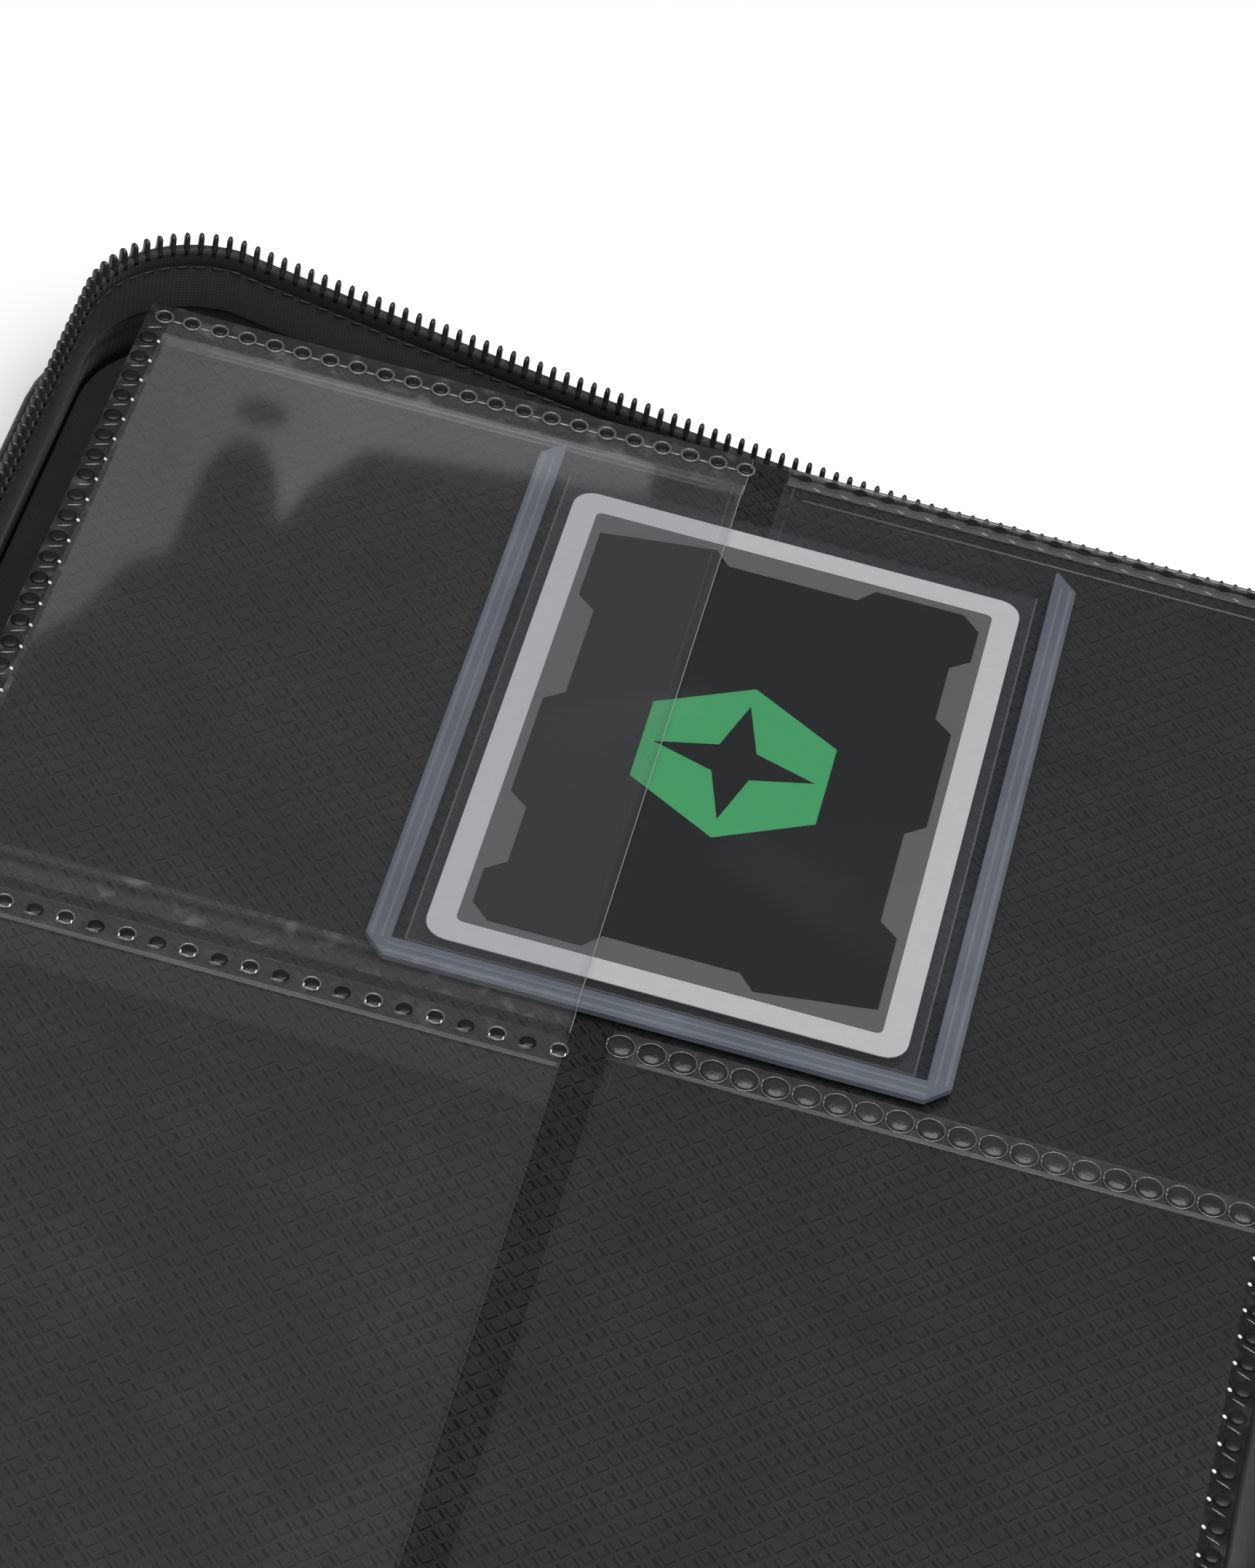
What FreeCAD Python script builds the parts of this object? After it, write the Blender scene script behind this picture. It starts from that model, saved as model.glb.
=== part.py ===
"""Zip-around binder for rigid card holders, lying open and flat.

Millimetres, +Z up. The origin is on the floor under the middle of the spine.
X runs across the two halves (front cover at -X), Y runs along the spine.
Both halves are drawn on the +X side, where u is the distance from the spine's
middle plane, and the front half is mirrored into place.
"""
import FreeCAD, Part
import os

V = FreeCAD.Vector

# Covers and spine
COVER_OUTER = 232.5          # u of the cover's fore edge
COVER_INNER = 27.5           # u of the cover's edge beside the spine
COVER_HALF = 128.0           # half of the cover's height along Y
COVER_CORNER = 24.0
SPINE_HALF = 20.5            # half of the spine's width
SKIN_TOP = 1.0               # outer leatherette
BOARD_TOP = 3.0              # stiffening board
LINING_TOP = 3.8             # inner lining
BOARD_INSET = 1.2            # the board stops short of the skin's turned edge

# Zip wall round each cover
WALL_OUTER = 225.2           # u of the wall's centre line
WALL_HALF = 122.5            # y of the wall's centre line
WALL_CORNER = 17.0
GUSSET_THICK = 1.2
TAPE_THICK = 0.8
CHAIN_THICK = 2.0
TAPE_HEIGHT = 3.2
CHAIN_HEIGHT = 2.2
CREST_HIGH = 22.5            # foot of the teeth along the fore edge
CREST_LOW = 7.4              # foot of the teeth beside the spine
DROP_LENGTH = 107.0          # the crest falls over this length from the corner
DROP_POWER = 1.35
DROP_POINTS = 9
SPINE_CHAIN_HALF = 14.0      # half of the stiff stretch across the spine's end

# Leaves
LEAF_INNER = 38.5
LEAF_OUTER = 217.8
LEAF_HALF = 114.0
LEAVES_PER_SIDE = 5
LEAF_TOP = 17.0              # upper face of the top leaf's backing
LEAF_PITCH = 2.9
BACKING = 0.4
INNER_FILM_END = 125.5       # mouth of the inner column of pockets
OUTER_FILM_END = 130.7       # mouth of the outer column of pockets
FILM = 0.2
FILM_GAP = 0.15              # space inside an empty pocket
WELD_SPINE = 4.5
WELD_OUTER = 7.0
WELD_END = 5.5
WELD_MIDDLE = 5.0
WELD_PLACE = {"outer": -2.9, "inner": 0.6}   # y of the weld between two pockets
RAISED_ROOF = 19.8           # top of the pocket that holds the card holder

# Binding on the spine
MARGIN_INNER = 2.0
MARGIN_FLAT = 18.0           # the margins lie flat as far as this
BASE_HALF = 11.0
BASE_TOP = 4.6
CLAMP_HALF = 9.0
CLAMP_THICK = 1.5
RIVET_SHANK = 1.5
RIVET_HEAD = 3.2
RIVET_HEAD_THICK = 0.9
RIVET_PLACES = (-96.0, -48.0, 0.0, 48.0, 96.0)

# Rigid card holder and the card in it
HOLDER_NEAR = 82.8           # u of its edge towards the spine
HOLDER_WIDTH = 76.2
HOLDER_LOW = 3.8             # y of its closed end
HOLDER_LENGTH = 101.6
HOLDER_BOTTOM = 17.45
HOLDER_THICK = 2.0
HOLDER_SHEET = 0.45
RAIL = 3.3
HOLDER_CHAMFER = 3.0
SLEEVE_WIDTH = 66.5
SLEEVE_LENGTH = 92.0
SLEEVE_THICK = 0.6
SLEEVE_WALL = 0.12
CARD_WIDTH = 63.0
CARD_LENGTH = 88.0
CARD_THICK = 0.3
CARD_CORNER = 3.0
SLEEVE_START = 3.6           # from the holder's closed end to the sleeve
CARD_START = 5.6             # from the holder's closed end to the card

# Zip slider on the back cover's near wall
SLIDER_PLACE = 44.0          # u of its middle, beside the spine
SLIDER_LENGTH = 11.0
SLIDER_WALL = 1.3
SLIDER_CLEAR = 0.35
SLIDER_SKIRT = 1.2           # how far its sides reach below the teeth's foot
SLIDER_ROUND = 1.0
PIN_RADIUS = 0.6
PIN_OUT = 1.6                # from the slider's face to the pin's axis
LUG_RADIUS = 1.2
LUG_THICK = 1.0
PULL_CLEAR = 0.1
PULL_NECK = 6.0              # narrow stretch beside the pin
PULL_WIDTH = 5.0
PULL_LENGTH = 26.0
PULL_THICK = 1.0
GRIP_WIDTH = 8.0
GRIP_LENGTH = 20.0
GRIP_THICK = 2.4
GRIP_LAP = 6.0               # how far the tab reaches into the grip
GRIP_ROUND = 2.5

CUT = 1.0                    # how far cutting tools run past what they cut
DEEP = 300.0                 # longer than the whole binder


def box(x0, x1, y0, y1, z0, z1):
    return Part.makeBox(x1 - x0, y1 - y0, z1 - z0, V(x0, y0, z0))


def on_side(side, shape):
    """Place a shape drawn at +X on the named half."""
    if side == "front":
        return shape.mirror(V(0, 0, 0), V(1, 0, 0))
    return shape


def save(name, *shapes):
    """Write one sub-part, a single solid or a group of separate ones."""
    solids = [solid for shape in shapes for solid in shape.Solids]
    whole = solids[0] if len(solids) == 1 else Part.makeCompound(solids)
    whole.exportStep(f"parts/{name}.step")
    print(name, len(solids), round(sum(s.Volume for s in solids), 1))


def half_plate(inner, outer, half, corner, z0, z1):
    """A plate with a straight edge at u = inner and two rounded outer corners."""
    far = outer - corner
    side = half - corner
    bend = corner * (1 - 0.5 ** 0.5)
    edges = [
        Part.LineSegment(V(inner, -half, z0), V(far, -half, z0)),
        Part.Arc(V(far, -half, z0), V(outer - bend, bend - half, z0), V(outer, -side, z0)),
        Part.LineSegment(V(outer, -side, z0), V(outer, side, z0)),
        Part.Arc(V(outer, side, z0), V(outer - bend, half - bend, z0), V(far, half, z0)),
        Part.LineSegment(V(far, half, z0), V(inner, half, z0)),
        Part.LineSegment(V(inner, half, z0), V(inner, -half, z0)),
    ]
    wire = Part.Wire([edge.toShape() for edge in edges])
    return Part.Face(wire).extrude(V(0, 0, z1 - z0))


def wall_ring(thick, z0, z1):
    """A U-shaped wall of even thickness round a cover's three free sides."""
    half = thick / 2
    outside = half_plate(COVER_INNER, WALL_OUTER + half, WALL_HALF + half,
                         WALL_CORNER + half, z0, z1)
    inside = half_plate(COVER_INNER - CUT, WALL_OUTER - half, WALL_HALF - half,
                        WALL_CORNER - half, z0 - CUT, z1 + CUT)
    return outside.cut(inside)


def crest_height(u):
    """Height of the foot of the teeth, u from the spine's middle."""
    corner = WALL_OUTER - WALL_CORNER
    share = min(1.0, max(0.0, (u - corner + DROP_LENGTH) / DROP_LENGTH))
    return CREST_LOW + (CREST_HIGH - CREST_LOW) * share ** DROP_POWER


def crest_edges(offset):
    """The line of the crest, moved up by an offset, from the spine outwards."""
    corner = WALL_OUTER - WALL_CORNER
    start = corner - DROP_LENGTH
    places = [start + DROP_LENGTH * i / (DROP_POINTS - 1) for i in range(DROP_POINTS)]
    points = [V(u, -DEEP / 2, crest_height(u) + offset) for u in places]
    curve = Part.BSplineCurve()
    curve.interpolate(points)
    near = V(COVER_INNER - CUT, -DEEP / 2, points[0].z)
    far = V(COVER_OUTER, -DEEP / 2, points[-1].z)
    return [
        Part.makeLine(near, points[0]),
        curve.toShape(),
        Part.makeLine(points[-1], far),
    ]


def crest_band(low, high):
    """A block between two heights measured from the crest; low None is the lining."""
    top = crest_edges(high)
    near = COVER_INNER - CUT
    if low is None:
        low_start = V(near, -DEEP / 2, LINING_TOP)
        low_end = V(COVER_OUTER, -DEEP / 2, LINING_TOP)
        bottom = [Part.makeLine(low_start, low_end)]
    else:
        bottom = crest_edges(low)
        low_start = bottom[0].Vertexes[0].Point
        low_end = bottom[-1].Vertexes[-1].Point
    top_start = top[0].Vertexes[0].Point
    top_end = top[-1].Vertexes[-1].Point
    ends = [Part.makeLine(low_end, top_end), Part.makeLine(top_start, low_start)]
    wire = Part.Wire(Part.__sortEdges__(bottom + top + ends))
    return Part.Face(wire).extrude(V(0, DEEP, 0))


def cover(side):
    skin = half_plate(COVER_INNER, COVER_OUTER, COVER_HALF, COVER_CORNER, 0, SKIN_TOP)
    board = half_plate(COVER_INNER, COVER_OUTER - BOARD_INSET, COVER_HALF - BOARD_INSET,
                       COVER_CORNER - BOARD_INSET, SKIN_TOP, BOARD_TOP)
    lining = half_plate(COVER_INNER, COVER_OUTER, COVER_HALF, COVER_CORNER,
                        BOARD_TOP, LINING_TOP)
    save(f"{side}_outer_skin", on_side(side, skin))
    save(f"{side}_stiffening_board", on_side(side, board))
    save(f"{side}_inner_lining", on_side(side, lining))


def zip_wall(side):
    tall = CREST_HIGH + CHAIN_HEIGHT + CUT
    gusset = wall_ring(GUSSET_THICK, LINING_TOP, tall)
    tape = wall_ring(TAPE_THICK, LINING_TOP, tall)
    chain = wall_ring(CHAIN_THICK, LINING_TOP, tall)
    save(f"{side}_gusset", on_side(side, gusset.common(crest_band(None, -TAPE_HEIGHT))))
    save(f"{side}_zip_tape", on_side(side, tape.common(crest_band(-TAPE_HEIGHT, 0))))
    save(f"{side}_zip_teeth", on_side(side, chain.common(crest_band(0, CHAIN_HEIGHT))))


def spine():
    half = COVER_HALF
    board_half = SPINE_HALF - BOARD_INSET
    save("spine_outer_skin", box(-SPINE_HALF, SPINE_HALF, -half, half, 0, SKIN_TOP))
    save("spine_board", box(-board_half, board_half, BOARD_INSET - half,
                            half - BOARD_INSET, SKIN_TOP, BOARD_TOP))
    save("spine_lining", box(-SPINE_HALF, SPINE_HALF, -half, half, BOARD_TOP, LINING_TOP))
    crease = box(SPINE_HALF, COVER_INNER, -half, half, 0, SKIN_TOP)
    for side in ("front", "back"):
        save(f"{side}_hinge_crease", on_side(side, crease))


def spine_end_zip():
    """The zip crosses each end of the spine, where its two halves start."""
    tapes = []
    chains = []
    links = []
    stops = []
    top = CREST_LOW + CHAIN_HEIGHT
    for end in (-1, 1):
        y = end * WALL_HALF
        tape_y = (y - TAPE_THICK / 2, y + TAPE_THICK / 2)
        chain_y = (y - CHAIN_THICK / 2, y + CHAIN_THICK / 2)
        stop_y = (y - CHAIN_THICK, y + CHAIN_THICK)
        reach = SPINE_CHAIN_HALF
        tapes.append(box(-reach, reach, *tape_y, LINING_TOP, CREST_LOW))
        chains.append(box(-reach, reach, *chain_y, CREST_LOW, top))
        links.append(box(reach, COVER_INNER, *tape_y, LINING_TOP, CREST_LOW))
        links.append(box(reach, COVER_INNER, *chain_y, CREST_LOW, top))
        stop = box(-2, 2, *stop_y, CREST_LOW, top + 1)
        stops.append(stop.cut(box(-3, 3, *chain_y, CREST_LOW - CUT, top)))
    save("spine_end_tapes", *tapes)
    save("spine_end_teeth", *chains)
    save("zip_end_stops", *stops)
    for side in ("front", "back"):
        tidy = [links[0].fuse(links[1]), links[2].fuse(links[3])]
        save(f"{side}_corner_gussets", *[on_side(side, link) for link in tidy])


def pocket_block(u0, u1, y0, y1, base, outward, height):
    """The empty space of a pocket, standing on the backing's face at z = base."""
    z0, z1 = sorted((base, base + outward * height))
    return box(u0, u1, y0, y1, z0, z1)


def film_pair(column, base, outward):
    """One column's film with its welds, as one solid over two pockets."""
    if column == "outer":
        ends = (OUTER_FILM_END, LEAF_OUTER)
        inside = (OUTER_FILM_END - CUT, LEAF_OUTER - WELD_OUTER)
    else:
        ends = (LEAF_INNER, INNER_FILM_END)
        inside = (LEAF_INNER + WELD_SPINE, INNER_FILM_END + CUT)
    film = pocket_block(*ends, -LEAF_HALF, LEAF_HALF, base, outward, FILM + FILM_GAP)
    for low, high in pocket_spans(column):
        film = film.cut(pocket_block(*inside, low, high, base, outward, FILM_GAP))
    return film


def pocket_spans(column):
    """Where the lower and the upper pocket of a column start and end along Y."""
    reach = LEAF_HALF - WELD_END
    weld = WELD_PLACE[column]
    return ((-reach, weld - WELD_MIDDLE / 2), (weld + WELD_MIDDLE / 2, reach))


def holder_pocket_film():
    """The outer column whose upper pocket stands open round the card holder."""
    base = LEAF_TOP
    film = film_pair("outer", base, 1)
    low, high = pocket_spans("outer")[1]
    u0 = OUTER_FILM_END
    u1 = LEAF_OUTER - WELD_OUTER
    dome = box(u0, u1 + FILM, low - FILM, high + FILM, base + FILM_GAP, RAISED_ROOF)
    film = film.fuse(dome)
    space = box(u0 - CUT, u1, low, high, base, RAISED_ROOF - FILM)
    return film.cut(space).removeSplitter()


def leaf_backing(top):
    return box(LEAF_INNER, LEAF_OUTER, -LEAF_HALF, LEAF_HALF, top - BACKING, top)


def leaf_films(top):
    faces = ((top, 1), (top - BACKING, -1))
    return [film_pair(column, base, outward)
            for base, outward in faces for column in ("outer", "inner")]


def leaf_margin(number):
    """Clamped flat beside the bar, then rising to the leaf it carries."""
    flat = BASE_TOP + BACKING * (LEAVES_PER_SIDE - 1 - number)
    raised = LEAF_TOP - LEAF_PITCH * number - BACKING
    lower = [(MARGIN_INNER, flat), (MARGIN_FLAT, flat), (LEAF_INNER, raised)]
    upper = [(u, z + BACKING) for u, z in reversed(lower)]
    corners = [V(u, -LEAF_HALF, z) for u, z in lower + upper]
    wire = Part.makePolygon(corners + corners[:1])
    return Part.Face(wire).extrude(V(0, 2 * LEAF_HALF, 0))


def leaves():
    """Leaf 1 is the top one of each side; the front's leaf 1 is the one that turns."""
    for side in ("front", "back"):
        for number in range(LEAVES_PER_SIDE):
            top = LEAF_TOP - LEAF_PITCH * number
            name = f"{side}_leaf_{number + 1}"
            save(f"{name}_backing", on_side(side, leaf_backing(top)))
            films = leaf_films(top)
            if side == "front" and number == 0:
                save(f"{name}_outer_pockets", on_side(side, holder_pocket_film()))
                save(f"{name}_inner_pockets", on_side(side, films[1]))
                films = films[2:]
                save(f"{name}_rear_pockets", *[on_side(side, film) for film in films])
            else:
                save(f"{name}_pockets", *[on_side(side, film) for film in films])
    margins = [leaf_margin(number) for number in range(LEAVES_PER_SIDE)]
    save("front_leaf_1_margin", on_side("front", margins[0]))
    save("front_leaf_margins", *[on_side("front", margin) for margin in margins[1:]])
    save("back_leaf_margins", *margins)


def binding():
    clamp_low = BASE_TOP + BACKING * LEAVES_PER_SIDE
    clamp_top = clamp_low + CLAMP_THICK
    base = box(-BASE_HALF, BASE_HALF, -LEAF_HALF, LEAF_HALF, LINING_TOP, BASE_TOP)
    clamp = box(-CLAMP_HALF, CLAMP_HALF, -LEAF_HALF, LEAF_HALF, clamp_low, clamp_top)
    rivets = []
    for y in RIVET_PLACES:
        shank = Part.makeCylinder(RIVET_SHANK, clamp_top - LINING_TOP, V(0, y, LINING_TOP))
        head = Part.makeCylinder(RIVET_HEAD, RIVET_HEAD_THICK, V(0, y, clamp_top))
        base = base.cut(shank)
        clamp = clamp.cut(shank)
        rivets.append(shank.fuse(head).removeSplitter())
    save("binding_base_strip", base)
    save("binding_clamp_bar", clamp)
    save("binding_rivets", *rivets)


def chamfered_plate(width, length, z0, z1, cut):
    """A plate centred on X = 0 that starts at Y = 0, with cut corners at both ends."""
    half = width / 2
    corners = [(cut - half, 0), (half - cut, 0), (half, cut), (half, length - cut),
               (half - cut, length), (cut - half, length), (-half, length - cut),
               (-half, cut)]
    points = [V(x, y, z0) for x, y in corners]
    return Part.Face(Part.makePolygon(points + points[:1])).extrude(V(0, 0, z1 - z0))


def holder_and_card():
    """Two clear sheets joined by a rail on three sides, open at the far end."""
    middle = V(HOLDER_NEAR + HOLDER_WIDTH / 2, HOLDER_LOW, 0)
    z0 = HOLDER_BOTTOM
    z1 = z0 + HOLDER_SHEET
    z2 = z0 + HOLDER_THICK - HOLDER_SHEET
    z3 = z0 + HOLDER_THICK
    inside = HOLDER_WIDTH / 2 - RAIL
    rear = chamfered_plate(HOLDER_WIDTH, HOLDER_LENGTH, z0, z1, HOLDER_CHAMFER)
    face = chamfered_plate(HOLDER_WIDTH, HOLDER_LENGTH, z2, z3, HOLDER_CHAMFER)
    rails = chamfered_plate(HOLDER_WIDTH, HOLDER_LENGTH, z1, z2, HOLDER_CHAMFER)
    rails = rails.cut(box(-inside, inside, RAIL, HOLDER_LENGTH + CUT, z1 - CUT, z3))
    centre = (z1 + z2) / 2
    wide = SLEEVE_WIDTH / 2
    sleeve_end = SLEEVE_START + SLEEVE_LENGTH
    sleeve = box(-wide, wide, SLEEVE_START, sleeve_end,
                 centre - SLEEVE_THICK / 2, centre + SLEEVE_THICK / 2)
    hollow = box(SLEEVE_WALL - wide, wide - SLEEVE_WALL,
                 SLEEVE_START + SLEEVE_WALL, sleeve_end + CUT,
                 centre - SLEEVE_THICK / 2 + SLEEVE_WALL,
                 centre + SLEEVE_THICK / 2 - SLEEVE_WALL)
    sleeve = sleeve.cut(hollow)
    half = CARD_WIDTH / 2
    card = box(-half, half, CARD_START, CARD_START + CARD_LENGTH,
               centre - CARD_THICK / 2, centre + CARD_THICK / 2)
    uprights = [edge for edge in card.Edges
                if abs(edge.Vertexes[0].Z - edge.Vertexes[-1].Z) > CARD_THICK / 2]
    card = card.makeFillet(CARD_CORNER, uprights)
    pieces = {"holder_rear_sheet": rear, "holder_front_sheet": face,
              "holder_rails": rails, "card_sleeve": sleeve, "card": card}
    for name, piece in pieces.items():
        piece.translate(middle)
        save(name, on_side("front", piece))


def lug(radius, x, y, z0, z1, face):
    """A round-nosed ear that stands out from the slider's outer face."""
    nose = Part.makeCylinder(radius, z1 - z0, V(x, y, z0))
    return nose.fuse(box(x - radius, x + radius, y, face, z0, z1))


def slider():
    """A channel over the teeth, with two lugs and a pin that carry the pull."""
    y = -WALL_HALF
    x0 = SLIDER_PLACE - SLIDER_LENGTH / 2
    x1 = SLIDER_PLACE + SLIDER_LENGTH / 2
    inner = CHAIN_THICK / 2 + SLIDER_CLEAR
    outer = inner + SLIDER_WALL
    roof = CREST_LOW + CHAIN_HEIGHT + SLIDER_CLEAR
    low = CREST_LOW - SLIDER_SKIRT
    high = roof + SLIDER_WALL
    body = box(x0, x1, y - outer, y + outer, low, high)
    body = body.cut(box(x0 - CUT, x1 + CUT, y - inner, y + inner, low - CUT, roof))
    uprights = [edge for edge in body.Edges
                if edge.BoundBox.ZLength > SLIDER_WALL and edge.BoundBox.XLength < CUT
                and abs(abs(edge.CenterOfMass.y - y) - outer) < SLIDER_CLEAR]
    body = body.makeFillet(SLIDER_ROUND, uprights)
    face = y - outer
    pin_y = face - PIN_OUT
    pin = Part.makeCylinder(PIN_RADIUS, high - low, V(SLIDER_PLACE, pin_y, low))
    lower_lug = lug(LUG_RADIUS, SLIDER_PLACE, pin_y, low, low + LUG_THICK, face)
    upper_lug = lug(LUG_RADIUS, SLIDER_PLACE, pin_y, high - LUG_THICK, high, face)
    body = body.fuse([lower_lug, upper_lug, pin]).removeSplitter()
    save("zip_slider_body", body)
    middle_z = (low + high) / 2
    pull(pin_y, middle_z, high - low - 2 * LUG_THICK - 2 * PULL_CLEAR)


def pull(pin_y, z, knuckle):
    """The tab turns on the slider's pin and is tied into a moulded grip."""
    knuckle_low = z - knuckle / 2
    eye = Part.makeCylinder(LUG_RADIUS, knuckle, V(SLIDER_PLACE, pin_y, knuckle_low))
    hole = Part.makeCylinder(PIN_RADIUS + PULL_CLEAR, knuckle + 2 * CUT,
                             V(SLIDER_PLACE, pin_y, knuckle_low - CUT))
    tab_end = SLIDER_PLACE + PULL_LENGTH
    neck_end = SLIDER_PLACE + PULL_NECK
    low_y = pin_y - PULL_THICK / 2
    high_y = pin_y + PULL_THICK / 2
    neck = box(SLIDER_PLACE, neck_end, low_y, high_y, knuckle_low, knuckle_low + knuckle)
    blade = box(neck_end, tab_end, low_y, high_y, z - PULL_WIDTH / 2, z + PULL_WIDTH / 2)
    tab = neck.fuse([eye, blade]).cut(hole).removeSplitter()
    grip_start = tab_end - GRIP_LAP
    grip = box(grip_start, grip_start + GRIP_LENGTH, pin_y - GRIP_THICK / 2,
               pin_y + GRIP_THICK / 2, z - GRIP_WIDTH / 2, z + GRIP_WIDTH / 2)
    corners = [edge for edge in grip.Edges if edge.BoundBox.YLength > GRIP_THICK / 2]
    grip = grip.makeFillet(GRIP_ROUND, corners)
    save("zip_pull_grip", grip.cut(tab))
    save("zip_pull_tab", tab)


def main():
    os.makedirs("parts", exist_ok=True)
    for side in ("front", "back"):
        cover(side)
        zip_wall(side)
    spine()
    spine_end_zip()
    leaves()
    binding()
    holder_and_card()
    slider()


main()
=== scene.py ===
import math

import bpy
import numpy as np
from mathutils import Matrix, Vector


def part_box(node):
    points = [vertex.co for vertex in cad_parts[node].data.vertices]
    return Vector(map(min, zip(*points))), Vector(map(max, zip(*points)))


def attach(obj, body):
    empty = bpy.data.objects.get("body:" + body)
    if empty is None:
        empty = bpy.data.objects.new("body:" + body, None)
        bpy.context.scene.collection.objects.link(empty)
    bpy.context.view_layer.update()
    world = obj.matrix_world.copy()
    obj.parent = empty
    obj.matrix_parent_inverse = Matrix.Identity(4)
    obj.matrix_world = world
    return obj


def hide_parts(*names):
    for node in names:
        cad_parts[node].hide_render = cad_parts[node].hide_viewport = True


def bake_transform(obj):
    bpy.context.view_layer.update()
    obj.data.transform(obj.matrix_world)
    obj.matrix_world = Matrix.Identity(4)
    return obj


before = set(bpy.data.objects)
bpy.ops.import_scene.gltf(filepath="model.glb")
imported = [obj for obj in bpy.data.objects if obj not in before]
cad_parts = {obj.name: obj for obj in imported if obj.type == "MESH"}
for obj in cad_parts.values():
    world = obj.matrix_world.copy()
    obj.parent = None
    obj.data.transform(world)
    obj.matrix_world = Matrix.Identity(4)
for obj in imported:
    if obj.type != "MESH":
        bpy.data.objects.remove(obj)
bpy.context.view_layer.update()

# The binder's lengths are in millimetres, and become metres when a mesh is made. The
# camera and the stage are in metres. Each half is drawn at +X, with u as the distance
# from the spine's middle, and the front half is mirrored.
MM = 0.001
SIDES = ("front", "back")


def node_box(name):
    """Lowest and highest corner of a CAD node, in millimetres."""
    low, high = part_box(name)
    return np.array(low) / MM, np.array(high) / MM


# Covers and spine
COVER_LOW, COVER_HIGH = node_box("back_outer_skin")
COVER_INNER, COVER_OUTER = COVER_LOW[0], COVER_HIGH[0]
COVER_HALF = COVER_HIGH[1]
COVER_CORNER = 24.0
SPINE_HALF = node_box("spine_outer_skin")[1][0]
LINING_TOP = node_box("back_inner_lining")[1][2]
LINING_FOOT = LINING_TOP - 0.9
LINING_MARGIN = 3.2          # from the cover's edge to the lining's
SKIN_TOP = LINING_TOP - 0.35

# Zip walls
TEETH_LOW, TEETH_HIGH = node_box("back_zip_teeth")
CHAIN_THICK, CHAIN_HEIGHT = 2.0, 2.2
WALL_OUTER = TEETH_HIGH[0] - CHAIN_THICK / 2
WALL_HALF = TEETH_HIGH[1] - CHAIN_THICK / 2
WALL_CORNER = 17.0
CORNER_U, CORNER_Y = WALL_OUTER - WALL_CORNER, WALL_HALF - WALL_CORNER
BEND = math.pi / 2 * WALL_CORNER
# Where each stretch of the wall's centre line ends, measured along it.
WALL_ENDS = np.cumsum([CORNER_U - COVER_INNER, BEND, 2 * CORNER_Y, BEND, CORNER_U - COVER_INNER])
WALL_LENGTH = WALL_ENDS[-1]
CREST_HIGH = TEETH_HIGH[2] - CHAIN_HEIGHT
CREST_LOW = TEETH_LOW[2]
DROP_LENGTH = 107.0          # over this length the wall gets lower towards the spine
DROP_POWER = 1.35
FOLD_DROP = 10.5             # from the teeth's foot down to the gusset's fold
TAPE_HEIGHT = 3.2
TAPE_EDGE = 0.62             # half the thickness of the tape's corded edge
TOOTH_PITCH = 2.0
STITCH_PITCH, SEAM_PITCH = 2.6, 3.0
WALL_STEP = 2.0

# Leaves, their embossing and their pocket film
LEAF_LOW, LEAF_HIGH = node_box("back_leaf_1_backing")
LEAF_INNER, LEAF_OUTER = LEAF_LOW[0], LEAF_HIGH[0]
LEAF_HALF, LEAF_TOP = LEAF_HIGH[1:]
BACKING = LEAF_HIGH[2] - LEAF_LOW[2]
LEAVES_PER_SIDE = 5
LEAF_PITCH = 2.9             # from one leaf down to the next
LEAF_WAVE = 0.25
MARGIN_START = 2.0
MARGIN_FLAT = 18.0           # the margins lie flat as far as this
CELL = 2.1                   # side of one embossed square
CELL_GROOVE = 0.5
CELL_SHADES = (0.3, 0.36)    # run of the two steep sides that face the spine, which are painted dark as shade
CELL_HEIGHT = 0.15
CELL_SIDE_SPREAD = (0.35, 0.9, 1.15, 1.5)   # the squares' steep, painted-shade sides vary in width from square to square
OUTER_FILM_END = -node_box("front_leaf_1_outer_pockets")[1][0]
INNER_FILM_END = -node_box("front_leaf_1_inner_pockets")[0][0]
FILM_THICK = 0.12
WELD_PITCH, SIDE_PITCH = 4.0, 4.31
WELD_PLACE = {"outer": -2.9, "inner": 0.6}   # the middle weld's y in each column
MID_WELD = 2.6               # half the width of a middle weld
END_WELD = 2.7
SIDE_WELD = 3.4
WELD_FALL = 7.0              # the film rises from its welds over this length

# Card holder
HOLDER_LOW, HOLDER_HIGH = node_box("holder_front_sheet")
RAIL = 3.3
CHAMFER = 3.0
END_FALL = 0.35              # the open pocket's film drops to its welds in this length


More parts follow.
